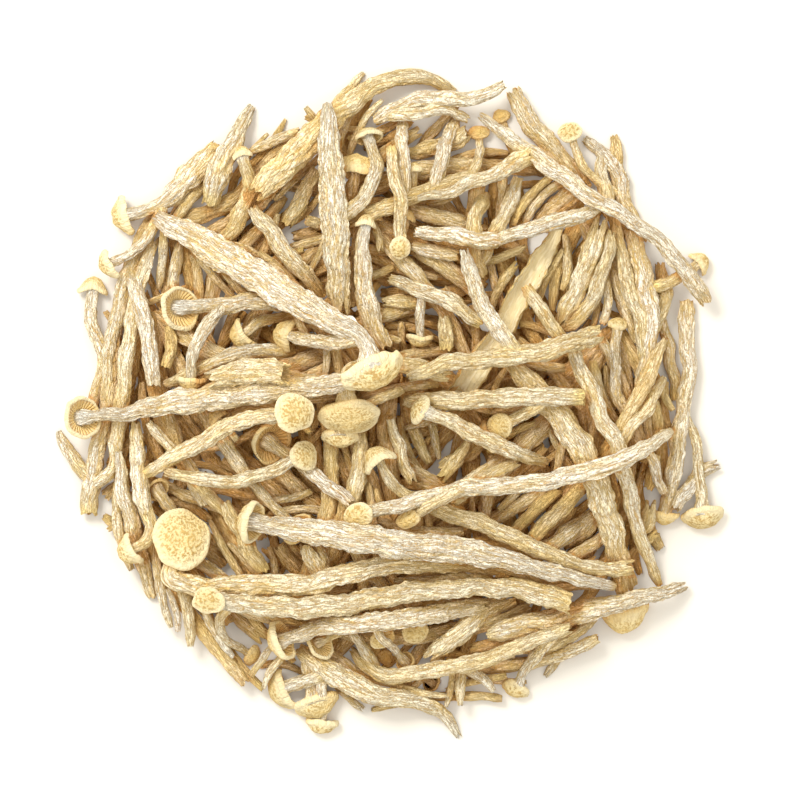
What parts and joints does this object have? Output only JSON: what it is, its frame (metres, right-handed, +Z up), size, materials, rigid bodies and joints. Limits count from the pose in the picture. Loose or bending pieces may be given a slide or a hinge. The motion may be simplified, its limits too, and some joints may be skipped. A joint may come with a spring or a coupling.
{
  "type": "bunch of dried beech mushrooms",
  "caption": "Loose round heap of dried beech mushrooms: long furrowed, twisted stems with small caps, some joined at the foot or split open, lying across each other.",
  "frame": {"origin": "on the surface that the heap lies on, under the middle of its outline seen from above", "axes": "+Z up; +X to the right and +Y to the top of the heap as it is seen from straight above"},
  "size_m": [0.2029, 0.2038, 0.0383],
  "materials": {
    "cream_skin": "dry, furrowed",
    "pale_skin": "dry, furrowed",
    "golden_skin": "dry, finely pitted",
    "orange_skin": "dry, shrivelled"
  },
  "bodies": {
    "root": {"broad_pale_mushroom": "pale_skin", "cap_right_rim": "pale_skin", "cap_trio_below": "cream_skin", "curled_cap_upper": "pale_skin", "dome_pair_middle": "golden_skin", "edge_cap_middle": "golden_skin", "flared_stem_upper": "cream_skin", "folded_stem_below": "cream_skin", "forked_stem": "cream_skin", "furrowed_club": "cream_skin", "furrowed_stem_lower_right": "pale_skin", "gilled_cap_left": "cream_skin", "great_branch": "golden_skin", "great_golden_cap": "golden_skin", "hook_cap_middle": "golden_skin", "hooked_stem_below": "golden_skin", "left_lower_stem": "cream_skin", "left_upright_stem": "cream_skin", "long_left_mushroom": "pale_skin", "long_stem_upper_right": "pale_skin", "longest_mushroom": "pale_skin", "lower_right_brown_stem": "orange_skin", "mid_flared_stem": "golden_skin", "open_stem": "pale_skin", "oval_dome_left": "golden_skin", "pale_mushroom_left_inner": "pale_skin", "right_broad_stem": "cream_skin", "right_slim_stem": "cream_skin", "right_stem_far": "pale_skin", "right_white_stem": "pale_skin", "rim_pair_left": "cream_skin", "rim_t_cap_left": "pale_skin", "round_dome_left": "golden_skin", "side_cap_below": "pale_skin", "slim_dome_middle": "cream_skin", "small_dome_upper": "golden_skin", "tuft_01": "golden_skin", "tuft_02": "cream_skin", "tuft_03": "cream_skin", "tuft_04": "cream_skin", "tuft_05": "pale_skin", "tuft_06": "cream_skin", "tuft_07": "pale_skin", "tuft_08": "cream_skin", "tuft_09": "pale_skin", "tuft_10": "golden_skin", "twin_strands_top": "cream_skin", "upper_golden_stem": "golden_skin", "upper_left_club": "cream_skin", "upper_right_dome": "pale_skin", "upper_right_flat_stem": "cream_skin", "upper_thin_stems": "golden_skin", "white_torn_cap": "pale_skin", "yellow_curved_stem": "golden_skin", "yellow_end_stem_below": "golden_skin", "yellow_end_stem_right": "golden_skin", "yellow_split_bundle": "golden_skin", "yellow_stem_middle": "golden_skin"}
  },
  "joints": []
}
